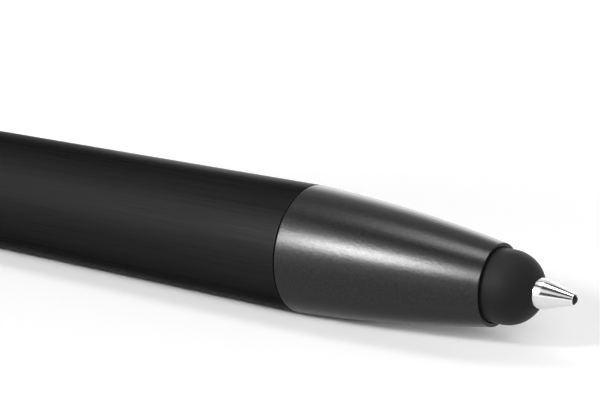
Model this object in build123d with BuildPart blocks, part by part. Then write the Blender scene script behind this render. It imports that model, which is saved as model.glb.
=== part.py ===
from build123d import *
from math import acos, atan2, cos, hypot, pi, radians, sin, sqrt, tan
import os

# A twist-action ballpoint pen with a soft stylus dome round its point.
# The pen lies along X with the point towards +X, and +Z is up. The origin is on the pen's axis
# at the front rim of the barrel, where the nose cone is screwed on. Lengths are millimetres.
# The point is out, as for writing, and the pen lies on a table that touches the barrel below.

# Refill: ball, metal point, ink tube
refill_length = 98.0
refill_diameter = 5.8
refill_wall = 0.25
refill_end_wall = 0.4
neck_diameter = 3.0
neck_gap = 0.6
point_diameter = 2.35
point_cone_length = 2.45
point_shoulder_round = 1.5
point_root_diameter = 2.0
point_root_length = 3.0
point_reach = 3.02
ball_diameter = 0.8
ball_clearance = 0.02
ball_rim_lead = 0.18
ball_rim_wall = 0.06
ink_channel_diameter = 0.4
ink_length = 52.0
plug_length = 4.0
plug_vent_diameter = 0.8

# Twist mechanism
tip_travel = 5.0
twist_angle = 180.0
pin_diameter = 1.4
pin_setback = 5.0
pin_end_gap = 0.15
slot_side_gap = 0.05
slot_end_gap = 0.1
plunger_length = 11.0
plunger_clearance = 0.08
nub_diameter = 2.4
nub_length = 1.0
nub_gap = 0.1
cam_wall = 0.78
cam_land = 2.5
bush_length = 8.0
gland_length = 2.4
gland_depth = 0.35
gland_side_gap = 0.1
retaining_width = 0.5
retaining_depth = 0.4
retaining_reach = 0.5
retaining_mouth = 4.2
connector_wall = 0.6
connector_grip = 10.0
connector_lip = 1.0

# Barrels and the ring between them
barrel_wall = 0.6
barrel_edge = 0.12
ring_width = 2.4
ring_recess = 0.25
ring_edge = 0.15
rear_room = 12.0
rear_insert_length = 7.0

# Nose cone and its threaded insert
nose_length = 17.34
nose_taper_angle = 2.9
nose_bore_clearance = 0.4
nose_spigot_wall = 0.7
nose_spigot_length = 7.0
nose_land_length = 0.8
nose_insert_length = 8.0
mouth_diameter = 5.9
rim_wall = 0.35
rim_round_share = 0.45
seam_gap = 0.2

# Stylus dome and the core that carries it
dome_diameter = 5.8
dome_hole_diameter = 2.5
dome_hole_round = 0.2
dome_wall = 0.85
dome_shoulder = 0.9
dome_reach = 3.59
dome_seat_depth = 0.74
dome_rib_depth = 0.25
dome_rib_width = 0.6
dome_rib_setback = 0.5
rim_gap = 0.2
core_plug_length = 2.8
core_flange_width = 0.9
core_flange_step = 0.25
core_end_wall = 0.4
guide_clearance = 0.1
stroke_room = 1.6

# Return spring
spring_wire = 0.3
spring_clearance = 0.3
spring_turns = 6

# Clip and finial
clip_sheet = 0.7
clip_length = 36.0
clip_foot_setback = 4.5
clip_rise = 1.7
clip_foot_gap = 0.1
clip_lip_rise = 1.4
clip_root_width = 4.8
clip_tip_width = 3.4
clip_bend_radius = 1.5
clip_foot_bend = 3.0
clip_tip_round_share = 0.9
stud_diameter = 3.0
stud_length = 6.0
finial_length = 5.0
finial_end_diameter = 8.4
finial_band = 1.2
finial_crown = 0.7
finial_round = 0.35

# Fits
refill_clearance = 0.3
running_clearance = 0.05
axial_gap = 0.1
press_gap = 0.02
thread_gap = 0.05
overrun = 1.0

# Radii, from the refill outwards
refill_radius = refill_diameter / 2
connector_bore = refill_radius + refill_clearance
connector_radius = connector_bore + connector_wall
cam_bore = connector_radius + running_clearance
cam_radius = cam_bore + cam_wall
barrel_bore = cam_radius + press_gap
barrel_radius = barrel_bore + barrel_wall
ring_radius = barrel_radius - ring_recess

# Radii at the nose
nose_bore = refill_radius + nose_bore_clearance
spigot_radius = nose_bore + nose_spigot_wall
nose_land_radius = barrel_bore - thread_gap
mouth_radius = mouth_diameter / 2
rim_radius = mouth_radius + rim_wall
dome_radius = dome_diameter / 2
dome_hole_radius = dome_hole_diameter / 2
dome_skirt_radius = mouth_radius - rim_gap
dome_bore = dome_radius - dome_wall
dome_rib_radius = dome_bore - dome_rib_depth
core_plug_radius = mouth_radius - press_gap
core_flange_radius = core_plug_radius + core_flange_step
core_spigot_radius = dome_bore - press_gap
core_groove_radius = dome_rib_radius - press_gap
point_radius = point_diameter / 2
guide_bore = point_radius + guide_clearance
neck_radius = neck_diameter / 2
spring_radius = neck_radius + spring_clearance + spring_wire / 2
spring_bore = spring_radius + spring_wire / 2 + spring_clearance
ball_radius = ball_diameter / 2
socket_radius = ball_radius + ball_clearance
point_rim_radius = ball_radius + ball_rim_wall
point_root_radius = point_root_diameter / 2

# Stations along the pen, from the nose backwards
dome_back = nose_length - dome_seat_depth
dome_equator = nose_length + dome_shoulder
dome_front = nose_length + dome_reach
dome_rib_back = dome_back + dome_rib_setback
dome_rib_front = dome_rib_back + dome_rib_width
core_plug_back = dome_back - core_plug_length
core_back = core_plug_back - core_flange_width
spring_seat = dome_back - core_end_wall
refill_shoulder = core_back - stroke_room
neck_front = spring_seat - neck_gap
ball_apex = dome_front + point_reach
ball_centre = ball_apex - ball_radius
point_rim = ball_centre + ball_rim_lead
point_cone_back = point_rim - point_cone_length
point_root_back = neck_front - point_root_length
refill_back = ball_apex - refill_length
tube_inner_front = refill_shoulder - refill_end_wall
plug_front = refill_back + plug_length
plunger_back = refill_back - plunger_length

# Stations of the twist mechanism and the barrels
pin_radius = pin_diameter / 2
pin_station = refill_back - pin_setback
slot_front = pin_station + pin_radius + slot_end_gap
slot_back = pin_station - tip_travel - pin_radius - slot_end_gap
cam_front = slot_front + cam_land
cam_back = slot_back - cam_land
retaining_front = cam_back - axial_gap
retaining_back = retaining_front - retaining_width
connector_back = retaining_back - connector_lip
bush_back = cam_front + gland_length
bush_front = bush_back + bush_length
ring_back = bush_front + axial_gap
ring_front = ring_back + ring_width
connector_front = ring_front + connector_grip
rear_insert_front = connector_back - rear_room
rear_end = rear_insert_front - rear_insert_length
finial_front = rear_end - clip_sheet

os.makedirs("parts", exist_ok=True)


# Nose cone: one long arc from the barrel to a thin rounded rim, stepped inside for the core
with BuildPart() as nose_cone:
    with BuildSketch(Plane.XY) as nose_outline:
        with BuildLine():
            flank = TangentArc(
                (seam_gap, barrel_radius),
                (nose_length, rim_radius),
                tangent=(cos(radians(nose_taper_angle)), -sin(radians(nose_taper_angle))),
            )
            Polyline(
                flank @ 1,
                (nose_length, mouth_radius),
                (core_plug_back, mouth_radius),
                (core_plug_back, core_flange_radius + press_gap),
                (core_back, core_flange_radius + press_gap),
                (core_back, nose_bore),
                (-nose_land_length - nose_spigot_length, nose_bore),
                (-nose_land_length - nose_spigot_length, spigot_radius),
                (-nose_land_length, spigot_radius),
                (-nose_land_length, nose_land_radius),
                (seam_gap, nose_land_radius),
                flank @ 0,
            )
        make_face()
        rim_corners = nose_outline.vertices().group_by(Axis.X)[-1]
        fillet(rim_corners, radius=rim_wall * rim_round_share)
    revolve(axis=Axis.X)
nose_cone.part.label = "nose_cone"
export_step(nose_cone.part, "parts/nose_cone.step")

# Threaded insert that the nose cone screws into
with BuildPart() as nose_insert:
    with BuildSketch(Plane.YZ.offset(-nose_land_length)):
        Circle(barrel_bore - press_gap)
        Circle(spigot_radius + thread_gap, mode=Mode.SUBTRACT)
    extrude(amount=-nose_insert_length)
nose_insert.part.label = "nose_insert"
export_step(nose_insert.part, "parts/nose_insert.step")

# Stylus core: a flanged holder with a grooved spigot for the dome and a seat for the spring
with BuildPart() as stylus_core:
    with BuildSketch(Plane.XY):
        with BuildLine():
            Polyline(
                (core_back, spring_bore),
                (core_back, core_flange_radius),
                (core_plug_back, core_flange_radius),
                (core_plug_back, core_plug_radius),
                (dome_back, core_plug_radius),
                (dome_back, core_spigot_radius),
                (dome_rib_back - press_gap, core_spigot_radius),
                (dome_rib_back - press_gap, core_groove_radius),
                (dome_rib_front + press_gap, core_groove_radius),
                (dome_rib_front + press_gap, core_spigot_radius),
                (dome_equator, core_spigot_radius),
                (dome_equator, guide_bore),
                (spring_seat, guide_bore),
                (spring_seat, spring_bore),
                close=True,
            )
        make_face()
    revolve(axis=Axis.X)
stylus_core.part.label = "stylus_core"
export_step(stylus_core.part, "parts/stylus_core.step")

# Stylus dome: a hollow rubber cap that bulges past its skirt and snaps into the core's groove
dome_run = dome_front - dome_equator
dome_drop = dome_radius - dome_hole_radius
dome_arc_radius = (dome_run**2 + dome_drop**2) / (2 * dome_drop)
dome_arc_height = dome_radius - dome_arc_radius
dome_inner_run = sqrt((dome_arc_radius - dome_wall) ** 2 - (dome_hole_radius - dome_arc_height) ** 2)
with BuildPart() as stylus_dome:
    with BuildSketch(Plane.XY):
        with BuildLine():
            bulge = TangentArc(
                (dome_equator, dome_radius), (nose_length, dome_skirt_radius), tangent=(-1, 0)
            )
            crown = TangentArc(
                (dome_equator, dome_radius), (dome_front, dome_hole_radius), tangent=(1, 0)
            )
            hollow = TangentArc(
                (dome_equator, dome_bore),
                (dome_equator + dome_inner_run, dome_hole_radius),
                tangent=(1, 0),
            )
            Line(crown @ 1, hollow @ 1)
            Polyline(
                hollow @ 0,
                (dome_rib_front, dome_bore),
                (dome_rib_front, dome_rib_radius),
                (dome_rib_back, dome_rib_radius),
                (dome_rib_back, dome_bore),
                (dome_back, dome_bore),
                (dome_back, dome_skirt_radius),
                bulge @ 1,
            )
        make_face()
    revolve(axis=Axis.X)
    hole_edge = stylus_dome.edges().filter_by(GeomType.CIRCLE).group_by(Axis.X)[-1]
    fillet(hole_edge, radius=dome_hole_round)
stylus_dome.part.label = "stylus_dome"
export_step(stylus_dome.part, "parts/stylus_dome.step")


# Return spring: a plain compression coil between the refill's shoulder and the core's seat
spring_back = refill_shoulder + spring_wire / 2 + press_gap
spring_front = spring_seat - spring_wire / 2 - press_gap
spring_pitch = (spring_front - spring_back) / spring_turns


def coil_point(turn):
    """Centre of the spring's wire after a number of turns."""
    angle = 2 * pi * turn
    return Vector(
        spring_back + spring_pitch * turn, spring_radius * cos(angle), spring_radius * sin(angle)
    )


def coil_heading(turn):
    """Direction of the spring's wire after a number of turns."""
    angle = 2 * pi * turn
    sweep_rate = 2 * pi * spring_radius
    return Vector(spring_pitch, -sweep_rate * sin(angle), sweep_rate * cos(angle)).normalized()


def biarc(start, start_heading, end, end_heading):
    """Two tangent arcs from one point and heading to another."""
    chord = end - start
    along = chord.dot(start_heading + end_heading)
    spread = 2 * (1 - start_heading.dot(end_heading))
    reach = (sqrt(along**2 + spread * chord.dot(chord)) - along) / spread
    first_corner = start + start_heading * reach
    second_corner = end - end_heading * reach
    middle = (first_corner + second_corner) / 2
    TangentArc(start, middle, tangent=start_heading)
    TangentArc(middle, end, tangent=second_corner - first_corner)


quarters_per_turn = 4
with BuildPart() as return_spring:
    with BuildLine() as coil:
        for quarter in range(spring_turns * quarters_per_turn):
            here = quarter / quarters_per_turn
            there = (quarter + 1) / quarters_per_turn
            biarc(coil_point(here), coil_heading(here), coil_point(there), coil_heading(there))
    with BuildSketch(Plane(origin=coil_point(0), z_dir=coil_heading(0))):
        Circle(spring_wire / 2)
    sweep(path=coil.line)
return_spring.part.label = "return_spring"
export_step(return_spring.part, "parts/return_spring.step")

samples_per_turn = 24
one_turn_apart = [
    (coil_point(step / samples_per_turn) - coil_point(other / samples_per_turn)).length
    for step in range(spring_turns * samples_per_turn)
    for other in range(step + samples_per_turn // 2, spring_turns * samples_per_turn + 1)
]
print("spring: least gap to itself", round(min(one_turn_apart) - spring_wire, 3), "mm")

# Writing ball, held by the rim of its socket
with BuildPart() as writing_ball:
    with Locations((ball_centre, 0, 0)):
        Sphere(ball_radius)
writing_ball.part.label = "writing_ball"
export_step(writing_ball.part, "parts/writing_ball.step")

# Refill point: a turned cone and shank with the ball's socket, an ink channel and a root
with BuildPart() as refill_point:
    with BuildSketch(Plane.XY) as point_outline:
        with BuildLine():
            Polyline(
                (point_rim, 0),
                (point_rim, point_rim_radius),
                (point_cone_back, point_radius),
                (neck_front, point_radius),
                (neck_front, point_root_radius),
                (point_root_back, point_root_radius),
                (point_root_back, 0),
                close=True,
            )
        make_face()
        shoulder_corner = point_outline.vertices().sort_by_distance((point_cone_back, point_radius))[0]
        fillet(shoulder_corner, radius=point_shoulder_round)
    revolve(axis=Axis.X)
    with Locations((ball_centre, 0, 0)):
        Sphere(socket_radius, mode=Mode.SUBTRACT)
    with BuildSketch(Plane.YZ.offset(point_root_back)):
        Circle(ink_channel_diameter / 2)
    extrude(amount=ball_centre - point_root_back, mode=Mode.SUBTRACT)
refill_point.part.label = "refill_point"
export_step(refill_point.part, "parts/refill_point.step")

# Ink tube with its end wall and the neck that grips the point's root
tube_bore = refill_radius - refill_wall
with BuildPart() as refill_tube:
    with BuildSketch(Plane.XY):
        with BuildLine():
            Polyline(
                (refill_back, tube_bore),
                (refill_back, refill_radius),
                (refill_shoulder, refill_radius),
                (refill_shoulder, neck_radius),
                (neck_front, neck_radius),
                (neck_front, point_root_radius + press_gap),
                (tube_inner_front, point_root_radius + press_gap),
                (tube_inner_front, tube_bore),
                close=True,
            )
        make_face()
    revolve(axis=Axis.X)
refill_tube.part.label = "refill_tube"
export_step(refill_tube.part, "parts/refill_tube.step")

# Ink paste in the front of the tube
with BuildPart() as ink:
    with BuildSketch(Plane.YZ.offset(tube_inner_front)):
        Circle(tube_bore - press_gap)
    extrude(amount=-ink_length)
ink.part.label = "ink"
export_step(ink.part, "parts/ink.step")

# Vented plug at the refill's rear end, with a recess for the plunger's nub
nub_radius = nub_diameter / 2
nub_recess_front = refill_back + nub_length + nub_gap
with BuildPart() as refill_plug:
    with BuildSketch(Plane.XY):
        with BuildLine():
            Polyline(
                (refill_back, nub_radius + nub_gap),
                (refill_back, tube_bore - press_gap),
                (plug_front, tube_bore - press_gap),
                (plug_front, plug_vent_diameter / 2),
                (nub_recess_front, plug_vent_diameter / 2),
                (nub_recess_front, nub_radius + nub_gap),
                close=True,
            )
        make_face()
    revolve(axis=Axis.X)
refill_plug.part.label = "refill_plug"
export_step(refill_plug.part, "parts/refill_plug.step")

# Plunger behind the refill, drilled across for the pin
with BuildPart() as plunger:
    with BuildSketch(Plane.YZ.offset(plunger_back)):
        Circle(connector_bore - plunger_clearance)
    extrude(amount=plunger_length)
    with BuildSketch(Plane.YZ.offset(refill_back)):
        Circle(nub_radius)
    extrude(amount=nub_length)
    with BuildSketch(Plane.XZ):
        with Locations((pin_station, 0)):
            Circle(pin_radius + press_gap)
    extrude(amount=connector_bore, both=True, mode=Mode.SUBTRACT)
plunger.part.label = "plunger"
export_step(plunger.part, "parts/plunger.step")

# Cross pin through the plunger, the straight slots and the helical slots
with BuildPart() as cross_pin:
    with BuildSketch(Plane.XZ):
        with Locations((pin_station, 0)):
            Circle(pin_radius)
    extrude(amount=barrel_bore - pin_end_gap, both=True)
cross_pin.part.label = "cross_pin"
export_step(cross_pin.part, "parts/cross_pin.step")

# Connector tube: thick where the front barrel grips it, grooved for the rubber ring and the
# retaining ring, with a straight slot on each side for the cross pin
gland_front = bush_back - gland_side_gap
gland_back = cam_front + gland_side_gap
gland_floor = connector_radius - gland_depth
retaining_floor = connector_radius - retaining_depth
with BuildPart() as connector_tube:
    with BuildSketch(Plane.XY):
        with BuildLine():
            Polyline(
                (connector_back, connector_bore),
                (connector_back, connector_radius),
                (retaining_back - press_gap, connector_radius),
                (retaining_back - press_gap, retaining_floor),
                (retaining_front + press_gap, retaining_floor),
                (retaining_front + press_gap, connector_radius),
                (gland_back, connector_radius),
                (gland_back, gland_floor),
                (gland_front, gland_floor),
                (gland_front, connector_radius),
                (ring_front, connector_radius),
                (ring_front, barrel_bore - press_gap),
                (connector_front, barrel_bore - press_gap),
                (connector_front, connector_bore),
                close=True,
            )
        make_face()
    revolve(axis=Axis.X)
    with BuildSketch(Plane.XZ):
        with Locations(((slot_front + slot_back) / 2, 0)):
            SlotOverall(slot_front - slot_back, pin_diameter + 2 * slot_side_gap)
    extrude(amount=barrel_bore, both=True, mode=Mode.SUBTRACT)
connector_tube.part.label = "connector_tube"
export_step(connector_tube.part, "parts/connector_tube.step")

# Rubber friction ring in its groove
friction_reach = barrel_bore - running_clearance
friction_section = (friction_reach - gland_floor - press_gap) / 2
with BuildPart() as friction_ring:
    with BuildSketch(Plane.XY):
        with Locations(((gland_front + gland_back) / 2, friction_reach - friction_section)):
            Circle(friction_section)
    revolve(axis=Axis.X)
friction_ring.part.label = "friction_ring"
export_step(friction_ring.part, "parts/friction_ring.step")

# Retaining ring: an open steel ring behind the cam sleeve
with BuildPart() as retaining_ring:
    with BuildSketch(Plane.YZ.offset(retaining_back)):
        Circle(connector_radius + retaining_reach)
        Circle(retaining_floor + press_gap, mode=Mode.SUBTRACT)
        with Locations((0, barrel_radius)):
            Rectangle(retaining_mouth, 2 * barrel_radius, mode=Mode.SUBTRACT)
    extrude(amount=retaining_width)
retaining_ring.part.label = "retaining_ring"
export_step(retaining_ring.part, "parts/retaining_ring.step")

# Cam sleeve: two helical slots carry the pin back by its travel in half a turn
pin_room = pin_radius + slot_side_gap
slot_lead = tip_travel * 360 / twist_angle
slot_slope = 2 * pi * cam_radius / slot_lead
slot_half_width = pin_room * sqrt(1 + slot_slope**2)
slot_start_angle = 2 * pi * (slot_back - pin_station) / slot_lead
slot_start_heading = (0, cos(slot_start_angle), sin(slot_start_angle))
slot_start = Plane(origin=(slot_back, 0, 0), x_dir=slot_start_heading, z_dir=(1, 0, 0))
slot_turn = 360 * (slot_front - slot_back) / slot_lead
with BuildPart() as cam_sleeve:
    with BuildSketch(Plane.YZ.offset(cam_back)):
        Circle(cam_radius)
        Circle(cam_bore, mode=Mode.SUBTRACT)
    extrude(amount=cam_front - cam_back)
    with BuildSketch(slot_start, mode=Mode.PRIVATE) as slot_bar:
        Rectangle(2 * barrel_radius, 2 * slot_half_width)
    twisted_bar = Solid.extrude_linear_with_rotation(
        slot_bar.sketch.face(), (slot_back, 0, 0), (slot_front - slot_back, 0, 0), slot_turn
    )
    add(twisted_bar, mode=Mode.SUBTRACT)
cam_sleeve.part.label = "cam_sleeve"
export_step(cam_sleeve.part, "parts/cam_sleeve.step")

# Plain bush that turns on the connector tube
with BuildPart() as bearing_bush:
    with BuildSketch(Plane.YZ.offset(bush_back)):
        Circle(barrel_bore - press_gap)
        Circle(cam_bore, mode=Mode.SUBTRACT)
    extrude(amount=bush_length)
bearing_bush.part.label = "bearing_bush"
export_step(bearing_bush.part, "parts/bearing_bush.step")

# Front barrel tube with broken edges
with BuildPart() as front_barrel:
    with BuildSketch(Plane.YZ.offset(ring_front)):
        Circle(barrel_radius)
        Circle(barrel_bore, mode=Mode.SUBTRACT)
    extrude(amount=-ring_front)
    rims = front_barrel.edges().filter_by(GeomType.CIRCLE).group_by(SortBy.RADIUS)[-1]
    chamfer(rims, length=barrel_edge)
front_barrel.part.label = "front_barrel"
export_step(front_barrel.part, "parts/front_barrel.step")

# Rear barrel tube with broken edges
with BuildPart() as rear_barrel:
    with BuildSketch(Plane.YZ.offset(rear_end)):
        Circle(barrel_radius)
        Circle(barrel_bore, mode=Mode.SUBTRACT)
    extrude(amount=bush_front - rear_end)
    rims = rear_barrel.edges().filter_by(GeomType.CIRCLE).group_by(SortBy.RADIUS)[-1]
    chamfer(rims, length=barrel_edge)
rear_barrel.part.label = "rear_barrel"
export_step(rear_barrel.part, "parts/rear_barrel.step")

# Trim ring between the two barrels
with BuildPart() as centre_ring:
    with BuildSketch(Plane.YZ.offset(ring_back)):
        Circle(ring_radius)
        Circle(connector_radius + press_gap, mode=Mode.SUBTRACT)
    extrude(amount=ring_width)
    rims = centre_ring.edges().filter_by(GeomType.CIRCLE).group_by(SortBy.RADIUS)[-1]
    chamfer(rims, length=ring_edge)
centre_ring.part.label = "centre_ring"
export_step(centre_ring.part, "parts/centre_ring.step")

# Threaded insert in the rear barrel, for the finial's stud
stud_radius = stud_diameter / 2
with BuildPart() as rear_insert:
    with BuildSketch(Plane.YZ.offset(rear_end)):
        Circle(barrel_bore - press_gap)
        Circle(stud_radius + thread_gap, mode=Mode.SUBTRACT)
    extrude(amount=rear_insert_length)
rear_insert.part.label = "rear_insert"
export_step(rear_insert.part, "parts/rear_insert.step")

# Clip: one bent strip with a round eye, turned round the pen until its edge meets the table
clip_middle = rear_end - clip_sheet / 2
clip_arm_radius = barrel_radius + clip_rise + clip_sheet / 2
clip_tip = rear_end + clip_length
clip_foot = clip_tip - clip_foot_setback
clip_foot_radius = barrel_radius + clip_foot_gap + clip_sheet / 2
clip_slope = atan2(clip_arm_radius - clip_foot_radius, clip_foot - clip_middle)
clip_bend_loss = clip_bend_radius * (tan(clip_slope) + 1 / cos(clip_slope) - 1)
clip_crest = clip_middle + clip_bend_radius
clip_crest_radius = clip_arm_radius + clip_sheet / 2 - clip_bend_loss
clip_corner_reach = hypot(clip_crest_radius, clip_root_width / 2)
clip_corner_angle = atan2(clip_root_width / 2, clip_crest_radius)
clip_angle = clip_corner_angle + acos(barrel_radius / clip_corner_reach)
clip_radial = (0, -sin(clip_angle), -cos(clip_angle))
clip_sideways = (0, cos(clip_angle), -sin(clip_angle))
clip_side_plane = Plane(origin=(0, 0, 0), x_dir=(1, 0, 0), z_dir=clip_sideways)
clip_top_plane = Plane(origin=(0, 0, 0), x_dir=(1, 0, 0), z_dir=clip_radial)
with BuildPart() as clip:
    with BuildSketch(clip_side_plane):
        with BuildLine():
            FilletPolyline(
                (clip_middle, 0),
                (clip_middle, clip_arm_radius),
                (clip_foot, clip_foot_radius),
                (clip_tip, barrel_radius + clip_lip_rise),
                radius=(clip_bend_radius, clip_foot_bend),
            )
        trace(line_width=clip_sheet)
    extrude(amount=clip_root_width / 2, both=True)
    with BuildSketch(clip_top_plane) as clip_outline:
        with BuildLine():
            Polyline(
                (finial_front, -clip_root_width / 2),
                (clip_crest, -clip_root_width / 2),
                (clip_tip, -clip_tip_width / 2),
                (clip_tip, clip_tip_width / 2),
                (clip_crest, clip_root_width / 2),
                (finial_front, clip_root_width / 2),
                close=True,
            )
        make_face()
        tip_corners = clip_outline.vertices().group_by(Axis.X)[-1]
        fillet(tip_corners, radius=clip_tip_width / 2 * clip_tip_round_share)
    extrude(amount=clip_arm_radius + overrun, both=True, mode=Mode.INTERSECT)
    with BuildSketch(Plane.YZ.offset(finial_front)):
        Circle(ring_radius)
    extrude(amount=clip_sheet)
    with BuildSketch(Plane.YZ.offset(finial_front - overrun)):
        Circle(stud_radius + thread_gap)
    extrude(amount=clip_sheet + 2 * overrun, mode=Mode.SUBTRACT)
clip.part.label = "clip"
export_step(clip.part, "parts/clip.step")

# Finial: a tapered end cap with a crowned end and the stud that clamps the clip
finial_back = finial_front - finial_length
finial_end_radius = finial_end_diameter / 2
with BuildPart() as finial:
    with BuildSketch(Plane.XY) as finial_outline:
        with BuildLine():
            end_crown = ThreePointArc(
                (finial_back + finial_crown, finial_end_radius),
                (finial_back, 0),
                (finial_back + finial_crown, -finial_end_radius),
            )
        with BuildLine():
            Polyline(
                end_crown @ 0,
                (finial_front - finial_band, barrel_radius),
                (finial_front, barrel_radius),
                (finial_front, -barrel_radius),
                (finial_front - finial_band, -barrel_radius),
                end_crown @ 1,
            )
        make_face()
        end_corners = finial_outline.vertices().group_by(Axis.X)[0]
        fillet(end_corners, radius=finial_round)
        split(bisect_by=Plane.XZ)
    revolve(axis=Axis.X)
    with BuildSketch(Plane.YZ.offset(finial_front)):
        Circle(stud_radius)
    extrude(amount=clip_sheet + stud_length)
finial.part.label = "finial"
export_step(finial.part, "parts/finial.step")
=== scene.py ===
"""Dresses a twist-action pen that has a soft stylus dome round its writing point.

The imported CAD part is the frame. The pen lies along X with its point towards +X, the origin is on
its axis at the barrel's front rim, and the table touches the barrel from below. Sizes in the pen's
classes are millimetres, and those in the studio's are metres. Every finished mesh is in metres.
"""

import logging
import math
from dataclasses import dataclass
from enum import Enum

import bmesh
import bpy
from mathutils import Matrix, Vector


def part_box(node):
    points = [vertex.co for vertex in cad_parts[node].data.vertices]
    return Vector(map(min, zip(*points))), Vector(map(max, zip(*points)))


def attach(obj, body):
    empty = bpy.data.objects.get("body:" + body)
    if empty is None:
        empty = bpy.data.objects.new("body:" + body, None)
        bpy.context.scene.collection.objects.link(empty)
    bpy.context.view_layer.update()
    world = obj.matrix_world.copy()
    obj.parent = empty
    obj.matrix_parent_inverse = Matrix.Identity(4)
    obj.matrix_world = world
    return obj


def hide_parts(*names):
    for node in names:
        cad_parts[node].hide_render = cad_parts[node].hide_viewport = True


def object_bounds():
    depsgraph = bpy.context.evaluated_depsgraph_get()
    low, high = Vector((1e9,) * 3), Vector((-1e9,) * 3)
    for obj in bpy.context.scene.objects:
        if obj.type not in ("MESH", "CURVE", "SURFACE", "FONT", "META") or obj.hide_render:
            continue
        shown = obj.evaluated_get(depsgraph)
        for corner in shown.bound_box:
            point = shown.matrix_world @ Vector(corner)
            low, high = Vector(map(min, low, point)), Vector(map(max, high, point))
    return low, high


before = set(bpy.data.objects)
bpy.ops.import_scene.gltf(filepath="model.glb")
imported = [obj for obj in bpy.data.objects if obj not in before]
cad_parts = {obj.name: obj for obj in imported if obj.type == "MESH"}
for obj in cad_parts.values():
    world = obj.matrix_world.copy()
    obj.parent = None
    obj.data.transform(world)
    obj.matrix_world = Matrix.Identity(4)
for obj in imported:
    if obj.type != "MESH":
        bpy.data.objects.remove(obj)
cad_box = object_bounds()

log = logging.getLogger("stylus_pen")

MM = 0.001

# Flat pieces in a full turn, and the profile that makes a bevel a round arc.
ROUND_STEPS = 128
ROUND_PROFILE = 0.5
# Distances in millimetres below which two places count as one.
MERGE_DISTANCE = 1e-4
STATION_TOLERANCE = 1e-3
# A face whose normal has less of X than this looks sideways from the pen's axis.
SIDEWAYS_LIMIT = 0.5

# Noise settings of every grain, and of the haze that adds a share to it.
GRAIN_DETAIL = 3.0
GRAIN_ROUGHNESS = 0.6
HAZE_DETAIL = 2.0
HAZE_SHARE = 0.35
# Usual span of grain and haze together, over which a finish spreads its roughness.
PATTERN_LOW, PATTERN_HIGH = 0.4, 0.95
# Sockets of a Mix node in its colour mode, whose names its other modes share.
MIX_FACTOR, MIX_FROM, MIX_TO, MIX_RESULT = 0, 6, 7, 2
WHITE = (1.0, 1.0, 1.0, 1.0)

Station = tuple[float, float]


class Body(Enum):
    """CAD bodies that the pieces ride on."""

    FRONT = "front"
    REAR = "rear"
    REFILL = "refill"
    BALL = "ball"


class Grain(Enum):
    """Ways in which a surface's fine pattern lies on the pen."""

    BRUSHED_ALONG = "lines along the pen"
    TURNED_ROUND = "rings round the pen"
    EVEN = "specks with no direction"


class Reach(Enum):
    """What a softbox lights."""

    ALL = "everything"
    MATT = "matt surfaces only"
    SHINE = "reflections only"


def linear(hex_colour: str) -> tuple[float, float, float, float]:
    """Turns an sRGB hex colour into linear values.

    Args:
        hex_colour: Six hex digits, such as "1c1c1d".

    Returns:
        Red, green, blue and alpha for a colour socket.
    """
    shares = [int(hex_colour[start:start + 2], 16) / 255 for start in (0, 2, 4)]
    red, green, blue = (
        share / 12.92 if share <= 0.04045 else ((share + 0.055) / 1.055) ** 2.4 for share in shares
    )
    return red, green, blue, 1.0


def clear_tree(owner: bpy.types.Material | bpy.types.World) -> bpy.types.NodeTree:
    """Gives a material or a world an empty node tree.

    Args:
        owner: The material or the world.

    Returns:
        Its node tree.
    """
    owner.use_nodes = True
    owner.node_tree.nodes.clear()
    return owner.node_tree


def add_node(
    tree: bpy.types.NodeTree, kind: str, inputs: dict[str | int, object] | None = None,
    **settings: object,
) -> bpy.types.ShaderNode:
    """Adds one shader node with its settings and links.

    Args:
        tree: Node tree that gets the node.
        kind: Blender's name for the node.
        inputs: Input socket name or number to a plain value, or to another node's output.
        settings: Properties of the node itself.

    Returns:
        The new node.
    """
    node = tree.nodes.new(kind)
    for name, value in settings.items():
        setattr(node, name, value)
    for name, value in (inputs or {}).items():
        if isinstance(value, bpy.types.NodeSocket):
            tree.links.new(value, node.inputs[name])
        else:
            node.inputs[name].default_value = value
    return node


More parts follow.
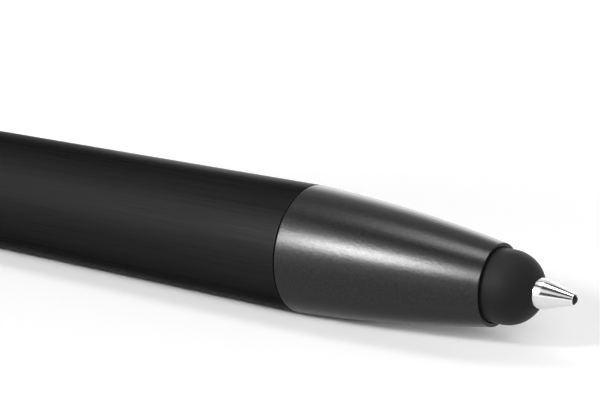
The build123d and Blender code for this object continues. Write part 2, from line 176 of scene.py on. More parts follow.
@dataclass(frozen=True)
class Finish:
    """A procedural surface: what it is made of and how it was made.

    The grain is a noise pattern stretched by its real sizes. It moves the colour between shade and
    fleck, the roughness between its two ends, and a bump of the given depth. A slow haze moves the
    roughness too.

    Attributes:
        name: The real material and how its surface was made.
        shade: Darker end of the colour, in sRGB hex.
        fleck: Lighter end of the colour, in sRGB hex.
        roughness: Smoothest and roughest end.
        grain: How the pattern lies on the pen.
        pitch: Width of one grain in millimetres.
        depth: Height of the bump in millimetres.
        run: Length of one grain in millimetres, or 0 where it is as long as wide.
        metallic: How far the surface is a metal.
        specular: Strength of the clear reflection over a non-metal.
        anisotropy: How far the lines spread a reflection across them.
        sheen: Strength of a dusty bloom.
        edge_tint: Colour of reflections at a grazing angle, in sRGB hex.
        haze: Size of the haze's patches in millimetres.
    """

    name: str
    shade: str
    fleck: str
    roughness: tuple[float, float]
    grain: Grain
    pitch: float
    depth: float
    run: float = 0.0
    metallic: float = 0.0
    specular: float = 0.5
    anisotropy: float = 0.0
    sheen: float = 0.0
    edge_tint: str = "ffffff"
    haze: float = 6.0

    def stretch(self) -> tuple[float, float, float]:
        """Returns the pattern's scale along X, Y and Z, in cells per metre."""
        across, along = 1 / (self.pitch * MM), 1 / ((self.run or self.pitch) * MM)
        return {
            Grain.BRUSHED_ALONG: (along, across, across),
            Grain.TURNED_ROUND: (across, along, along),
            Grain.EVEN: (across, across, across),
        }[self.grain]

    def material(self) -> bpy.types.Material:
        """Returns this finish's material, made on first use."""
        return bpy.data.materials.get(self.name) or self.make()

    def make(self) -> bpy.types.Material:
        """Builds the material with its node tree.

        Returns:
            The new material.
        """
        material = bpy.data.materials.new(self.name)
        tree = clear_tree(material)
        place = add_node(tree, "ShaderNodeTexCoord").outputs["Object"]
        scaled = add_node(
            tree, "ShaderNodeMapping", {"Vector": place, "Scale": self.stretch()}
        ).outputs["Vector"]
        grain = add_node(
            tree, "ShaderNodeTexNoise",
            {"Vector": scaled, "Scale": 1.0, "Detail": GRAIN_DETAIL, "Roughness": GRAIN_ROUGHNESS},
        ).outputs["Fac"]
        haze = add_node(
            tree, "ShaderNodeTexNoise",
            {"Vector": place, "Scale": 1 / (self.haze * MM), "Detail": HAZE_DETAIL},
        ).outputs["Fac"]
        mixed = add_node(
            tree, "ShaderNodeMath", {0: haze, 1: HAZE_SHARE, 2: grain}, operation="MULTIPLY_ADD"
        ).outputs[0]
        rough = add_node(
            tree, "ShaderNodeMapRange",
            {"Value": mixed, "From Min": PATTERN_LOW, "From Max": PATTERN_HIGH,
             "To Min": self.roughness[0], "To Max": self.roughness[1]},
        ).outputs["Result"]
        colour = add_node(
            tree, "ShaderNodeMix",
            {MIX_FACTOR: grain, MIX_FROM: linear(self.shade), MIX_TO: linear(self.fleck)},
            data_type="RGBA",
        ).outputs[MIX_RESULT]
        bump = add_node(
            tree, "ShaderNodeBump",
            {"Height": grain, "Strength": 1.0, "Distance": self.depth * MM},
        ).outputs["Normal"]
        surface = {
            "Base Color": colour, "Roughness": rough, "Normal": bump, "Metallic": self.metallic,
            "Specular IOR Level": self.specular, "Anisotropic": self.anisotropy,
            "Sheen Weight": self.sheen, "Specular Tint": linear(self.edge_tint),
        }
        if self.anisotropy:
            surface["Tangent"] = add_node(
                tree, "ShaderNodeTangent", direction_type="RADIAL", axis="X"
            ).outputs["Tangent"]
        shader = add_node(tree, "ShaderNodeBsdfPrincipled", surface).outputs["BSDF"]
        add_node(tree, "ShaderNodeOutputMaterial", {"Surface": shader})
        return material


# Aluminium tube, brushed along its length and black anodised: the fine lines spread any light
# round the tube, so it shows a broad dim glow and no sharp streak, and the dyed film keeps its
# edges dark. Real lines are about 0.05 mm apart; they are drawn at 0.16 mm so that they show.
BRUSHED_BLACK = Finish(
    "anodised_aluminium_brushed_black", "1b1b1b", "272727", (0.26, 0.37), Grain.BRUSHED_ALONG,
    pitch=0.16, run=14.0, depth=0.006, metallic=0.66, specular=0.005, anisotropy=0.7,
    edge_tint="a7a7a7",
)
# Aluminium, bead-blasted and black anodised: an even satin skin with soft-edged streaks of light
# and a fine sparkle along them. Real pits are about 0.05 mm wide; they are drawn at 0.16 mm so
# that they show.
BLASTED_BLACK = Finish(
    "anodised_aluminium_blasted_black", "1f1f1f", "404040", (0.275, 0.285), Grain.EVEN,
    pitch=0.16, depth=0.0105, metallic=0.9, specular=0.38, edge_tint="e1e1e1",
)
# Carbon-filled silicone rubber, moulded in a matt tool: soft and dull, with a dusty bloom.
MATT_SILICONE = Finish(
    "silicone_rubber_moulded_matt", "080808", "0f0f0f", (0.6, 0.72), Grain.EVEN,
    pitch=0.18, depth=0.002, specular=0.175, sheen=0.03,
)
# Nickel silver, turned and burnished: a bright mirror broken up by fine rings from the tool.
TURNED_NICKEL = Finish(
    "nickel_silver_turned_bright", "d2d2d1", "e2e2e1", (0.12, 0.2), Grain.TURNED_ROUND,
    pitch=0.09, run=40.0, depth=0.0012, metallic=1.0,
)
# Tungsten carbide, lapped: a dark grey mirror under a trace of ink.
LAPPED_CARBIDE = Finish(
    "tungsten_carbide_lapped", "222224", "303032", (0.12, 0.22), Grain.EVEN,
    pitch=0.08, depth=0.0003, metallic=1.0,
)
# Spring steel, pressed and black nickel plated: a smooth dark shine with a slight orange peel.
BLACK_NICKEL = Finish(
    "spring_steel_black_nickel", "1f1f21", "2a2a2c", (0.16, 0.26), Grain.EVEN,
    pitch=0.5, depth=0.001, metallic=0.6,
)
# Free-cutting brass, turned: warm yellow metal with tool rings.
TURNED_BRASS = Finish(
    "brass_turned", "b4924c", "c9a862", (0.2, 0.34), Grain.TURNED_ROUND,
    pitch=0.12, run=40.0, depth=0.002, metallic=1.0,
)
# Aluminium tube, drawn and clear anodised: pale grey metal with faint draw lines.
DRAWN_ALUMINIUM = Finish(
    "aluminium_drawn_clear_anodised", "b9babc", "c9cacc", (0.3, 0.42), Grain.BRUSHED_ALONG,
    pitch=0.2, run=18.0, depth=0.002, metallic=1.0,
)
# Acetal, moulded: a white slippery plastic with a soft waxy gloss.
MOULDED_ACETAL = Finish(
    "acetal_moulded_white", "e6e4dd", "efeee8", (0.32, 0.42), Grain.EVEN, pitch=0.4, depth=0.002,
)
# Spring steel wire, drawn and polished: bright metal with faint draw lines.
DRAWN_STEEL = Finish(
    "spring_steel_drawn", "a9abae", "bcbec1", (0.18, 0.3), Grain.BRUSHED_ALONG,
    pitch=0.12, run=8.0, depth=0.001, metallic=1.0,
)
# Stainless steel tube, drawn: a dull grey metal.
DRAWN_STAINLESS = Finish(
    "stainless_steel_drawn", "9b9c9e", "adaeb0", (0.24, 0.36), Grain.BRUSHED_ALONG,
    pitch=0.15, run=20.0, depth=0.001, metallic=1.0,
)
# Polypropylene, moulded: a dull off-white plastic.
MOULDED_POLYPROPYLENE = Finish(
    "polypropylene_moulded", "d5d6d2", "dfe0dc", (0.38, 0.5), Grain.EVEN, pitch=0.5, depth=0.002,
)
# Nitrile rubber ring, moulded: dull black.
MOULDED_NITRILE = Finish(
    "nitrile_rubber_moulded", "151515", "1f1f1f", (0.6, 0.75), Grain.EVEN,
    pitch=0.25, depth=0.003, specular=0.3,
)
# Oil-based ink paste: a wet blue-black mass.
INK_PASTE = Finish(
    "ink_paste_blue_black", "0a0d1d", "10142a", (0.1, 0.2), Grain.EVEN, pitch=0.8, depth=0.004,
)


def only(items: list, kind: type) -> list:
    """Returns the items of one kind, such as the faces that an operator made."""
    return [item for item in items if isinstance(item, kind)]


def arc_radius(run: float, drop: float) -> float:
    """Returns the radius of an arc that starts level and drops by some way over a run."""
    return (run**2 + drop**2) / (2 * drop)


def round_edges(
    mesh: bmesh.types.BMesh, edges: list[bmesh.types.BMEdge], width: float, segments: int
) -> None:
    """Rounds some edges of a mesh.

    Args:
        mesh: Mesh that holds them.
        edges: The edges.
        width: How far the rounding reaches along each side.
        segments: Number of steps in the rounding.
    """
    bmesh.ops.bevel(
        mesh, geom=edges, offset=width, offset_type="OFFSET", affect="EDGES", segments=segments,
        profile=ROUND_PROFILE, material=-1,
    )


def add_square(mesh: bmesh.types.BMesh, place: Matrix) -> bmesh.types.BMFace:
    """Adds a square to a mesh.

    Args:
        mesh: Mesh that gets it.
        place: What turns a unit square round the origin into it.

    Returns:
        Its face.
    """
    made = bmesh.ops.create_grid(mesh, x_segments=1, y_segments=1, size=0.5, matrix=place)
    return made["verts"][0].link_faces[0]


class Turning:
    """A profile drawn in millimetres and spun round the pen's axis."""

    def __init__(self, x: float, radius: float) -> None:
        """Starts the profile at one station."""
        self.mesh = bmesh.new()
        self.first = self.last = self.mesh.verts.new((x, 0.0, radius))

    def line(self, *stations: Station) -> None:
        """Draws straight runs from the profile's end.

        Args:
            stations: Points to pass through, each as x and radius.
        """
        for x, radius in stations:
            made = bmesh.ops.extrude_vert_indiv(self.mesh, verts=[self.last])
            self.last = made["verts"][0]
            self.last.co = (x, 0.0, radius)

    def arc(self, end: Station, centre: Station, steps: int) -> None:
        """Draws an arc from the profile's end.

        Args:
            end: Where the arc stops.
            centre: Centre of the arc.
            steps: Number of straight pieces in it.
        """
        here = math.atan2(self.last.co.x - centre[0], self.last.co.z - centre[1])
        there = math.atan2(end[0] - centre[0], end[1] - centre[1])
        made = bmesh.ops.spin(
            self.mesh, geom=[self.last], cent=(centre[0], 0.0, centre[1]), axis=(0, 1, 0),
            angle=there - here, steps=steps,
        )
        self.last = only(made["geom_last"], bmesh.types.BMVert)[0]

    def close(self) -> None:
        """Joins the profile's end to its start."""
        self.mesh.edges.new((self.last, self.first))

    def turn(self) -> None:
        """Spins the profile a full turn and points its faces outwards."""
        bmesh.ops.spin(
            self.mesh, geom=self.mesh.verts[:] + self.mesh.edges[:], cent=(0, 0, 0),
            axis=(1, 0, 0), angle=2 * math.pi, steps=ROUND_STEPS, use_merge=True,
        )
        bmesh.ops.remove_doubles(self.mesh, verts=self.mesh.verts[:], dist=MERGE_DISTANCE)
        bmesh.ops.recalc_face_normals(self.mesh, faces=self.mesh.faces[:])

    def ring(self, x: float, radius: float) -> list[bmesh.types.BMEdge]:
        """Finds the circle of edges at a station.

        Args:
            x: Place along the pen.
            radius: Radius of the circle.

        Returns:
            Its edges.
        """
        def on_ring(vert: bmesh.types.BMVert) -> bool:
            """Tells whether a vertex lies on the circle."""
            off_station = abs(vert.co.x - x)
            off_circle = abs(math.hypot(vert.co.y, vert.co.z) - radius)
            return max(off_station, off_circle) < STATION_TOLERANCE

        return [edge for edge in self.mesh.edges if all(on_ring(vert) for vert in edge.verts)]

    def soften(self, x: float, radius: float, width: float, segments: int = 3) -> None:
        """Rounds the edge at a station.

        Args:
            x: Place of the edge along the pen.
            radius: Radius of the edge.
            width: How far the rounding reaches along each side.
            segments: Number of steps in the rounding.
        """
        round_edges(self.mesh, self.ring(x, radius), width, segments)


class Strip:
    """A face that is swept through space, straight on or round a bend."""

    def __init__(self, mesh: bmesh.types.BMesh, place: Matrix) -> None:
        """Starts the strip with a unit square put in its place."""
        self.mesh = mesh
        self.start = self.end = add_square(mesh, place)

    def push(self, along: Vector) -> None:
        """Extrudes the strip's end in a straight line.

        Args:
            along: Direction and length of the line.
        """
        made = bmesh.ops.extrude_face_region(self.mesh, geom=[self.end])["geom"]
        self.end = only(made, bmesh.types.BMFace)[0]
        bmesh.ops.translate(self.mesh, vec=along, verts=only(made, bmesh.types.BMVert))

    def bend(self, centre: Vector, angle: float, steps: int) -> None:
        """Spins the strip's end about a level axis.

        Args:
            centre: Centre of the bend.
            angle: How far it turns, in radians.
            steps: Number of straight pieces in it.
        """
        made = bmesh.ops.spin(
            self.mesh, geom=[self.end], cent=centre, axis=(0, 1, 0), angle=angle, steps=steps
        )["geom_last"]
        self.end = only(made, bmesh.types.BMFace)[0]


def mesh_object(
    mesh: bmesh.types.BMesh, name: str, material: bpy.types.Material
) -> bpy.types.Object:
    """Turns a finished bmesh into an object of the scene.

    Args:
        mesh: The shape in metres; it is freed here.
        name: Name of the object.
        material: Its surface.

    Returns:
        The object.
    """
    data = bpy.data.meshes.new(name)
    mesh.to_mesh(data)
    mesh.free()
    data.materials.append(material)
    made = bpy.data.objects.new(name, data)
    bpy.context.scene.collection.objects.link(made)
    return made


def add_piece(
    mesh: bmesh.types.BMesh, name: str, node: str, body: Body, finish: Finish
) -> None:
    """Turns a finished bmesh into a piece that stands for a CAD node.

    Args:
        mesh: The shape in millimetres; it is freed here.
        name: Name of the piece.
        node: CAD node that it stands for.
        body: CAD body that it rides on.
        finish: Its surface.
    """
    bmesh.ops.scale(mesh, vec=(MM, MM, MM), verts=mesh.verts[:])
    piece = mesh_object(mesh, name, finish.material())
    data = piece.data
    data.shade_smooth()
    # The even normals are kept in the mesh, so that no live modifier is left on the piece.
    piece.modifiers.new("even_shading", "WEIGHTED_NORMAL").keep_sharp = True
    evaluated = piece.evaluated_get(bpy.context.evaluated_depsgraph_get())
    piece.data = bpy.data.meshes.new_from_object(evaluated)
    piece.data.name = name
    piece.modifiers.clear()
    bpy.data.meshes.remove(data)
    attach(piece, body.value)
    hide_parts(node)
    log.info("%s: %d faces, stands for %s", name, len(piece.data.polygons), node)


def node_ends(node: str) -> tuple[float, float, float]:
    """Reads a turned CAD node's size.

    Args:
        node: Name of the node.

    Returns:
        Its rear end, its front end and its outer radius in millimetres.
    """
    low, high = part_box(node)
    return low.x / MM, high.x / MM, high.z / MM


@dataclass
class NoseEnd:
    """The turned nose cone and the rubber dome that sits in its mouth."""

    seam_gap: float = 0.12
    seam_edge: float = 0.02
    edge_land: float = 0.06
    land_radius: float = 4.6
    taper_degrees: float = 2.9
    rim_radius: float = 3.25
    mouth_radius: float = 2.95
    rim_round: float = 0.04
    mouth_round: float = 0.03
    core_seat: Station = (13.8, 3.2)
    core_seat_back: float = 12.9
    bore_radius: float = 3.3
    spigot_radius: float = 4.0
    spigot_front: float = -0.8
    seam_steps: int = 1
    flank_steps: int = 40
    rim_steps: int = 2
    dome_skirt: float = 2.88
    dome_bead: float = 2.92
    bead_setback: float = 0.35
    dome_shoulder: float = 0.9
    dome_wall: float = 0.85
    dome_hole: float = 1.2
    dome_hole_round: float = 0.06
    rib_radius: float = 1.8
    rib_front: float = 17.7
    rib_back: float = 17.1
    bulge_steps: int = 8
    crown_steps: int = 32
    hollow_steps: int = 16
    hole_steps: int = 4

    def build_cone(self) -> None:
        """Models the nose cone: one long arc to a thin rounded rim, stepped inside."""
        back, front, radius = node_ends("nose_cone")
        taper = math.radians(self.taper_degrees)
        inward = Vector((-math.sin(taper), -math.cos(taper)))
        reach = Vector((front - self.seam_gap, self.rim_radius - radius))
        flank_radius = reach.length_squared / (2 * reach.dot(inward))
        centre = Vector((self.seam_gap, radius)) + inward * flank_radius
        cone = Turning(self.seam_gap, self.land_radius)
        cone.line((self.seam_gap, radius))
        # The flank is one arc. Short lands at both of its ends leave room for the rounded edges.
        for stop, steps in (
            (self.seam_gap + self.seam_edge + self.edge_land, self.seam_steps),
            (front - self.rim_round - self.edge_land, self.flank_steps),
            (front, self.rim_steps),
        ):
            rise = math.sqrt(flank_radius**2 - (stop - centre.x) ** 2)
            cone.arc((stop, centre.y + rise), tuple(centre), steps)
        cone.line(
            (front, self.mouth_radius), (self.core_seat[0], self.mouth_radius), self.core_seat,
            (self.core_seat_back, self.core_seat[1]), (self.core_seat_back, self.bore_radius),
            (back, self.bore_radius), (back, self.spigot_radius),
            (self.spigot_front, self.spigot_radius), (self.spigot_front, self.land_radius),
        )
        cone.close()
        cone.turn()
        cone.soften(front, self.rim_radius, self.rim_round)
        cone.soften(front, self.mouth_radius, self.mouth_round)
        cone.soften(self.seam_gap, radius, self.seam_edge)
        add_piece(cone.mesh, "nose_shell", "nose_cone", Body.FRONT, BLASTED_BLACK)

    def build_dome(self) -> None:
        """Models the rubber dome: it bulges past its skirt and has a round-edged hole."""
        back, front, radius = node_ends("stylus_dome")
        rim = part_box("nose_cone")[1].x / MM
        equator = rim + self.dome_shoulder
        bulge_radius = arc_radius(self.dome_shoulder, radius - self.dome_skirt)
        crown_radius = arc_radius(front - equator, radius - self.dome_hole)
        crown_centre = (equator, radius - crown_radius)
        hollow_radius = crown_radius - self.dome_wall
        hollow_run = math.sqrt(hollow_radius**2 - (self.dome_hole - crown_centre[1]) ** 2)
        bore = radius - self.dome_wall
        dome = Turning(back, bore)
        dome.line(
            (back, self.dome_bead), (rim - self.bead_setback, self.dome_bead),
            (rim - self.bead_setback, self.dome_skirt), (rim, self.dome_skirt),
        )
        dome.arc((equator, radius), (equator, radius - bulge_radius), self.bulge_steps)
        dome.arc((front, self.dome_hole), crown_centre, self.crown_steps)
        dome.line((equator + hollow_run, self.dome_hole))
        dome.arc((equator, bore), crown_centre, self.hollow_steps)
        dome.line(
            (self.rib_front, bore), (self.rib_front, self.rib_radius),
            (self.rib_back, self.rib_radius), (self.rib_back, bore),
        )
        dome.close()
        dome.turn()
        dome.soften(front, self.dome_hole, self.dome_hole_round, self.hole_steps)
        add_piece(dome.mesh, "rubber_dome", "stylus_dome", Body.FRONT, MATT_SILICONE)

    def build(self) -> None:
        """Builds both pieces."""
        self.build_cone()
        self.build_dome()


@dataclass
class Barrels:
    """The two brushed tubes and the trim ring between them."""

    bore_radius: float = 4.65
    tube_edge: float = 0.06
    ring_bore: float = 3.82
    ring_edge: float = 0.15

    def build_tube(
        self, node: str, name: str, bore: float, edge: float, body: Body, finish: Finish
    ) -> None:
        """Models a plain tube with rounded outer edges.

        Args:
            node: CAD node that gives its ends and outer radius.
            name: Name of the piece.
            bore: Inner radius.
            edge: Width of the rounded edges.
            body: CAD body that it rides on.
            finish: Its surface.
        """
        back, front, radius = node_ends(node)
        tube = Turning(back, bore)
        tube.line((back, radius), (front, radius), (front, bore))
        tube.close()
        tube.turn()
        tube.soften(back, radius, edge)
        tube.soften(front, radius, edge)
        add_piece(tube.mesh, name, node, body, finish)

    def build(self) -> None:
        """Builds the three pieces."""
        for node, name, body in (
            ("front_barrel", "barrel_tube_front", Body.FRONT),
            ("rear_barrel", "barrel_tube_rear", Body.REAR),
        ):
            self.build_tube(
                node, name, self.bore_radius, self.tube_edge, body, BRUSHED_BLACK
            )
        self.build_tube(
            "centre_ring", "trim_ring", self.ring_bore, self.ring_edge, Body.FRONT,
            BLACK_NICKEL,
        )


@dataclass
class Tail:
    """The bent pocket clip and the end cap that clamps it."""

    eye_radius: float = 5.0
    eye_hole: float = 1.55
    rim_slack: float = 0.05
    sheet: float = 0.7
    arm_radius: float = 7.3
    foot_radius: float = 5.7
    foot_setback: float = 4.5
    lip_radius: float = 6.65
    root_width: float = 4.8
    tip_width: float = 3.4
    root_bend: float = 1.5
    root_steps: int = 12
    foot_bend: float = 3.0
    foot_steps: int = 6
    tip_round: float = 1.53
    tip_steps: int = 10
    corner_slack: float = 0.1
    tab_start: float = 5.2
    strip_edge: float = 0.12
    strip_edge_steps: int = 2
    sharp_degrees: float = 50
    turn_degrees: float = 113.782
    cap_end_radius: float = 4.2
    cap_band: float = 1.2
    cap_crown: float = 0.7
    cap_round: float = 0.25
    cap_edge: float = 0.12
    stud_radius: float = 1.5
    crown_steps: int = 24
    crown_edge_steps: int = 5
    band_edge_steps: int = 4

    def build_clip(self) -> None:
        """Models the clip: an eye, a tab bent over the end, a sloping arm and a raised lip."""
        back, tip, _ = node_ends("clip")
        front = back + self.sheet
        middle = back + self.sheet / 2
        foot = tip - self.foot_setback
        crest = middle + self.root_bend
        eye = Turning(back, self.eye_hole)
        eye.line((back, self.eye_radius), (front, self.eye_radius), (front, self.eye_hole))
        eye.close()
        eye.turn()
        mesh = eye.mesh
        slope = math.atan2(self.arm_radius - self.foot_radius, foot - middle)
        lip_slope = math.atan2(self.lip_radius - self.foot_radius, self.foot_setback)
        root_turn = math.pi / 2 + slope
        foot_turn = slope + lip_slope
        root_tangent = self.root_bend * math.tan(root_turn / 2)
        foot_tangent = self.foot_bend * math.tan(foot_turn / 2)
        arm_run = math.hypot(foot - middle, self.arm_radius - self.foot_radius)
        lip_run = math.hypot(self.foot_setback, self.lip_radius - self.foot_radius)
        bend_start = self.arm_radius - root_tangent
        along_arm = Vector((math.cos(slope), 0, -math.sin(slope)))
        off_arm = Vector((math.sin(slope), 0, math.cos(slope)))
        along_lip = Vector((math.cos(lip_slope), 0, math.sin(lip_slope)))
        arm_end = Vector((foot, 0, self.foot_radius)) - along_arm * foot_tangent
        strip = Strip(
            mesh, Matrix.Translation((middle, 0, self.tab_start))
            @ Matrix.Diagonal((self.sheet, self.root_width, 1, 1)),
        )
        strip.push(Vector((0, 0, bend_start - self.tab_start)))
        strip.bend(Vector((crest, 0, bend_start)), root_turn, self.root_steps)
        strip.push(along_arm * (arm_run - root_tangent - foot_tangent))
        strip.bend(arm_end + off_arm * self.foot_bend, -foot_turn, self.foot_steps)
        strip.push(along_lip * (lip_run - foot_tangent))
        for vert in mesh.verts:
            share = (vert.co.x - crest) / (tip - crest)
            if share > 0:
                vert.co.y *= 1 + share * (self.tip_width / self.root_width - 1)
        tip_corners = [
            edge for edge in strip.end.edges
            if abs(edge.verts[0].co.y - edge.verts[1].co.y) < self.corner_slack
        ]
        round_edges(mesh, tip_corners, self.tip_round, self.tip_steps)
        self.join_eye(mesh, strip.start)
        long_edges = [
            edge for edge in mesh.edges
            if edge.is_manifold and edge.calc_face_angle() > math.radians(self.sharp_degrees)
            and min(vert.co.z for vert in edge.verts) > bend_start - STATION_TOLERANCE
        ]
        round_edges(mesh, long_edges, self.strip_edge, self.strip_edge_steps)
        bmesh.ops.recalc_face_normals(mesh, faces=mesh.faces[:])
        bmesh.ops.rotate(
            mesh, cent=(0, 0, 0), verts=mesh.verts[:],
            matrix=Matrix.Rotation(math.radians(self.turn_degrees), 3, "X"),
        )
        add_piece(mesh, "pocket_clip", "clip", Body.REAR, BLACK_NICKEL)

    def join_eye(self, mesh: bmesh.types.BMesh, start_face: bmesh.types.BMFace) -> None:
        """Opens the eye's rim towards the tab and bridges the two.

        Args:
            mesh: Mesh that holds the eye and the strip.
            start_face: Face at the strip's start.
        """
        rim = [
            face for face in mesh.faces
            if abs(face.normal.x) < SIDEWAYS_LIMIT and face.calc_center_median().z > 0
            and abs(math.hypot(*face.calc_center_median().yz) - self.eye_radius) < self.rim_slack
            and max(abs(vert.co.y) for vert in face.verts) < self.root_width / 2
        ]
        loops = [
            edge for edge in mesh.edges
            if sum(face in rim for face in edge.link_faces) == 1 or edge in start_face.edges[:]
        ]
        bmesh.ops.delete(mesh, geom=rim + [start_face], context="FACES_ONLY")
        inner = [edge for edge in mesh.edges if edge.is_wire]
        bmesh.ops.bridge_loops(mesh, edges=[edge for edge in loops if edge not in inner])
        bmesh.ops.delete(mesh, geom=inner, context="EDGES")

    def build_cap(self) -> None:
        """Models the end cap: a short band, a taper, a crowned end and the stud inside."""
        back, stud_front, radius = node_ends("finial")
        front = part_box("clip")[0].x / MM
        crown_radius = arc_radius(self.cap_end_radius, self.cap_crown)
        shoulder = back + self.cap_crown
        cap = Turning(back, 0.0)
        cap.arc((shoulder, self.cap_end_radius), (back + crown_radius, 0.0), self.crown_steps)
        cap.line(
            (front - self.cap_band, radius), (front, radius), (front, self.stud_radius),
            (stud_front, self.stud_radius), (stud_front, 0.0),
        )
        cap.turn()
        cap.soften(shoulder, self.cap_end_radius, self.cap_round, self.crown_edge_steps)
        cap.soften(front - self.cap_band, radius, self.cap_round, self.band_edge_steps)
        cap.soften(front, radius, self.cap_edge)
        add_piece(cap.mesh, "end_cap", "finial", Body.REAR, BLASTED_BLACK)

    def build(self) -> None:
        """Builds both pieces."""
        self.build_clip()
        self.build_cap()


@dataclass
class WritingPoint:
    """The bright turned point of the refill and the ball in its socket."""

    channel_radius: float = 0.2
    root_radius: float = 1.0
    neck_front: float = 15.6
    cone_length: float = 2.45
    cone_shoulder: float = 0.215
    shoulder_steps: int = 6
    rim_radius: float = 0.46
    rim_round: float = 0.03
    socket_clearance: float = 0.02
    socket_steps: int = 12
    ball_steps: int = 32

    def build(self) -> None:
        """Models the point and its ball."""
        back, rim, radius = node_ends("refill_point")
        ball_back, ball_front, ball_radius = node_ends("writing_ball")
        ball_centre = ball_front - ball_radius
        socket = ball_radius + self.socket_clearance
        lip = math.sqrt(socket**2 - (rim - ball_centre) ** 2)
        floor = ball_centre - math.sqrt(socket**2 - self.channel_radius**2)
        shoulder = rim - self.cone_length
        point = Turning(back, self.channel_radius)
        point.line(
            (back, self.root_radius), (self.neck_front, self.root_radius),
            (self.neck_front, radius), (shoulder, radius), (rim, self.rim_radius), (rim, lip),
        )
        point.arc((floor, self.channel_radius), (ball_centre, 0.0), self.socket_steps)
        point.close()
        point.turn()
        point.soften(shoulder, radius, self.cone_shoulder, self.shoulder_steps)
        point.soften(rim, self.rim_radius, self.rim_round)
        add_piece(
            point.mesh, "writing_point", "refill_point", Body.REFILL, TURNED_NICKEL
        )
        ball = Turning(ball_back, 0.0)
        ball.arc((ball_front, 0.0), (ball_centre, 0.0), self.ball_steps)
        ball.turn()
        add_piece(
            ball.mesh, "carbide_ball", "writing_ball", Body.BALL, LAPPED_CARBIDE
        )


@dataclass
class Insides:
    """The carried-over CAD pieces inside the pen, which keep their shape."""

    finishes: tuple[tuple[Finish, tuple[str, ...]], ...] = (
        (TURNED_BRASS, ("stylus_core", "nose_insert", "rear_insert")),
        (DRAWN_ALUMINIUM, ("connector_tube",)),
        (MOULDED_ACETAL, ("bearing_bush", "plunger", "cam_sleeve")),
        (DRAWN_STEEL, ("return_spring", "retaining_ring", "cross_pin")),
        (DRAWN_STAINLESS, ("refill_tube",)),
        (MOULDED_POLYPROPYLENE, ("refill_plug",)),
        (MOULDED_NITRILE, ("friction_ring",)),
        (INK_PASTE, ("ink",)),
    )

    def dress(self) -> None:
        """Gives each carried-over node its finish."""
        for finish, nodes in self.finishes:
            for node in nodes:
                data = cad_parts[node].data
                data.materials.clear()
                data.materials.append(finish.material())
                log.info("%s: %s", node, finish.name)


def facing(towards: Vector) -> Matrix:
    """Turns a flat card so that it faces back along a direction, with its width level along X.

    Args:
        towards: Direction from the pen to the card.

    Returns:
        Rotation whose Z axis points away from the pen.
    """
    away = towards.normalized()
    width = (Vector((1, 0, 0)) - away * away.x).normalized()
    return Matrix((width, away.cross(width), away)).transposed().to_4x4()


@dataclass(frozen=True)
class Card:
    """A flat studio card or softbox, placed by the direction in which the pen sees it.

    Attributes:
        name: Name of the object.
        towards: Direction from the pen to the card.
        distance: How far away it is.
        width: Its size along the pen.
        height: Its size round the pen.
        radiance: Brightness of its face, for a softbox.
        slide: How far it is shifted along its width.
        reach: What it lights, for a softbox.
    """

    name: str
    towards: tuple[float, float, float]
    distance: float
    width: float
    height: float
    radiance: float = 0.0
    slide: float = 0.0
    reach: Reach = Reach.ALL

    def matrix(self) -> Matrix:
        """Returns the card's place."""
        away = Vector(self.towards).normalized()
        shift = Matrix.Translation((self.slide, 0, 0))
        return Matrix.Translation(away * self.distance) @ facing(away) @ shift

    def add_lamp(self) -> None:
        """Adds the card as a softbox whose face has the given radiance."""
        lamp = bpy.data.lights.new(self.name, "AREA")
        lamp.shape = "RECTANGLE"
        lamp.size, lamp.size_y = self.width, self.height
        lamp.energy = math.pi * self.width * self.height * self.radiance
        holder = bpy.data.objects.new(self.name, lamp)
        holder.matrix_world = self.matrix()
        holder.visible_diffuse = self.reach is not Reach.SHINE
        holder.visible_glossy = self.reach is not Reach.MATT
        bpy.context.scene.collection.objects.link(holder)
        log.info("%s: softbox of %.2f W", self.name, lamp.energy)

    def add_flag(self, material: bpy.types.Material) -> None:
        """Adds the card as a black flag that only reflections show.

        Args:
            material: The flag's black cloth.
        """
        mesh = bmesh.new()
        add_square(mesh, self.matrix() @ Matrix.Diagonal((self.width, self.height, 1, 1)))
        flag = mesh_object(mesh, self.name, material)
        flag.visible_camera = flag.visible_diffuse = flag.visible_shadow = False


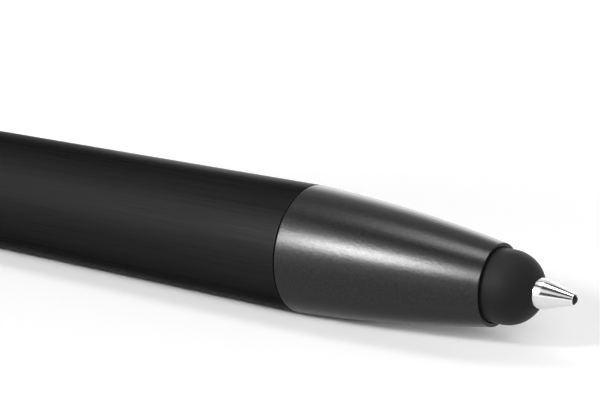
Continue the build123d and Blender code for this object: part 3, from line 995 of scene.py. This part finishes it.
@dataclass
class Studio:
    """The table, the light and the camera of the picture.

    The lamps for matt surfaces give the table its light and shadows, and those for reflections give
    the metal its streaks, so that each can be set by itself. The flags keep dark bands between the
    streaks.
    """

    camera_place: tuple[float, float, float] = (0.07934, -0.11530, 0.04055)
    camera_yaw: float = 34.874
    camera_pitch: float = 14.603
    focal_length: float = 107.6
    near_clip: float = 0.01
    table_size: float = 6.0
    table_colour: str = "f2f2f2"
    table_white: float = 1.15
    fade_start: float = 0.04
    fade_end: float = 0.3
    ambient: float = 0.13
    flag_colour: str = "0a0a0a"
    softboxes: tuple[Card, ...] = (
        Card("fill_lamp", (0.697, -0.585, 0.415), 0.6, 0.40, 0.22, 13.0, reach=Reach.MATT),
        Card("key_lamp", (-0.312, -0.832, 0.475), 0.6, 0.07, 0.07, 90.0, reach=Reach.MATT),
        Card("top_lamp", (-0.35, 0.0, 0.94), 0.6, 0.9, 0.2, 1.44, reach=Reach.MATT),
        Card("key_softbox", (-0.312, -0.832, 0.475), 0.6, 0.16, 0.17, 25.3, reach=Reach.SHINE),
        Card("key_glint", (-0.32, -0.832, 0.475), 0.59, 0.11, 0.17, 48.7, reach=Reach.SHINE),
        Card("top_softbox", (0.02, 0.03, 1.0), 0.6, 0.36, 0.19, 4.4, reach=Reach.SHINE),
        Card("top_glint", (0.02, -0.055, 1.0), 0.59, 0.36, 0.19, 6.3, reach=Reach.SHINE),
        Card("back_softbox", (-0.36, 0.9, 0.22), 0.8, 0.58, 0.42, 2.4),
        Card("side_panel", (-0.676, -0.567, 0.469), 0.6, 0.32, 0.62, 1.7, reach=Reach.SHINE),
    )
    flags: tuple[Card, ...] = (
        Card("front_flag", (0.0, -0.3746, 0.927), 0.58, 1.1, 0.18, slide=-0.2),
        Card("rear_flag", (0.0, 0.36, 0.933), 0.58, 1.1, 0.06, slide=-0.2),
        Card("point_front_flag", (0.0, -0.3746, 0.927), 0.57, 0.32, 0.34, slide=0.14),
        Card("point_rear_flag", (0.0, 0.36, 0.933), 0.57, 0.32, 0.28, slide=0.14),
        Card("camera_flag", (0.22, -0.93, 0.28), 0.5, 0.30, 0.19),
    )

    def add_camera(self) -> None:
        """Adds the camera at the photograph's viewing angle."""
        data = bpy.data.cameras.new("photo_camera")
        data.lens = self.focal_length
        data.clip_start = self.near_clip
        camera = bpy.data.objects.new("photo_camera", data)
        camera.location = self.camera_place
        camera.rotation_euler = (
            math.radians(90 - self.camera_pitch), 0.0, math.radians(self.camera_yaw)
        )
        bpy.context.scene.collection.objects.link(camera)
        bpy.context.scene.camera = camera

    def seen(self, tree: bpy.types.NodeTree) -> bpy.types.NodeSocket:
        """Adds a switch that is 1 where the camera, a reflection or glass looks at the surface.

        Args:
            tree: Node tree of the table or the world.

        Returns:
            The switch's output.
        """
        path = add_node(tree, "ShaderNodeLightPath").outputs
        direct = add_node(
            tree, "ShaderNodeMath", {0: path["Is Camera Ray"], 1: path["Is Glossy Ray"]},
            operation="MAXIMUM",
        ).outputs[0]
        return add_node(
            tree, "ShaderNodeMath", {0: direct, 1: path["Is Transmission Ray"]},
            operation="MAXIMUM",
        ).outputs[0]

    def add_world(self) -> None:
        """Adds an even white surround, dim as a light and white as a background."""
        world = bpy.data.worlds.new("white_surround")
        tree = clear_tree(world)
        strength = add_node(
            tree, "ShaderNodeMath", {0: self.seen(tree), 1: 1 - self.ambient, 2: self.ambient},
            operation="MULTIPLY_ADD",
        ).outputs[0]
        surround = add_node(
            tree, "ShaderNodeBackground", {"Color": WHITE, "Strength": strength}
        ).outputs[0]
        add_node(tree, "ShaderNodeOutputWorld", {"Surface": surround})
        bpy.context.scene.world = world

    def add_table(self) -> None:
        """Adds the pale table top that the pen lies on, which fades into the surround far off."""
        material = bpy.data.materials.new("white_matt_table")
        tree = clear_tree(material)
        seen = self.seen(tree)
        shown = (self.table_white, self.table_white, self.table_white, 1.0)
        colour = add_node(
            tree, "ShaderNodeMix",
            {MIX_FACTOR: seen, MIX_FROM: linear(self.table_colour), MIX_TO: shown},
            data_type="RGBA",
        ).outputs[MIX_RESULT]
        near = add_node(tree, "ShaderNodeBsdfDiffuse", {"Color": colour}).outputs["BSDF"]
        place = add_node(tree, "ShaderNodeTexCoord").outputs["Object"]
        distance = add_node(
            tree, "ShaderNodeVectorMath", {0: place}, operation="LENGTH"
        ).outputs["Value"]
        fade = add_node(
            tree, "ShaderNodeMapRange",
            {"Value": distance, "From Min": self.fade_start, "From Max": self.fade_end},
        ).outputs["Result"]
        glow = add_node(
            tree, "ShaderNodeMath", {0: seen, 1: fade}, operation="MULTIPLY"
        ).outputs[0]
        far = add_node(
            tree, "ShaderNodeEmission", {"Color": WHITE, "Strength": glow}
        ).outputs["Emission"]
        top = add_node(tree, "ShaderNodeAddShader", {0: near, 1: far}).outputs["Shader"]
        add_node(tree, "ShaderNodeOutputMaterial", {"Surface": top})
        mesh = bmesh.new()
        add_square(
            mesh, Matrix.Translation((0, 0, cad_box[0].z))
            @ Matrix.Diagonal((self.table_size, self.table_size, 1, 1)),
        )
        table = mesh_object(mesh, "table_top", material)

    def add_lights(self) -> None:
        """Adds the softboxes and the black flags between them."""
        for softbox in self.softboxes:
            softbox.add_lamp()
        cloth = bpy.data.materials.new("black_flag_cloth")
        tree = clear_tree(cloth)
        black = add_node(
            tree, "ShaderNodeBsdfDiffuse", {"Color": linear(self.flag_colour)}
        ).outputs["BSDF"]
        add_node(tree, "ShaderNodeOutputMaterial", {"Surface": black})
        for flag in self.flags:
            flag.add_flag(cloth)

    def build(self) -> None:
        """Builds the whole studio."""
        self.add_camera()
        self.add_world()
        self.add_table()
        self.add_lights()
        bpy.context.scene.view_settings.view_transform = "Standard"


def main() -> None:
    """Builds the pen piece by piece, then the studio round it."""
    logging.basicConfig(level=logging.INFO, format="%(name)s: %(message)s")
    NoseEnd().build()
    Barrels().build()
    Tail().build()
    WritingPoint().build()
    Insides().dress()
    Studio().build()


if __name__ == "__main__":
    main()
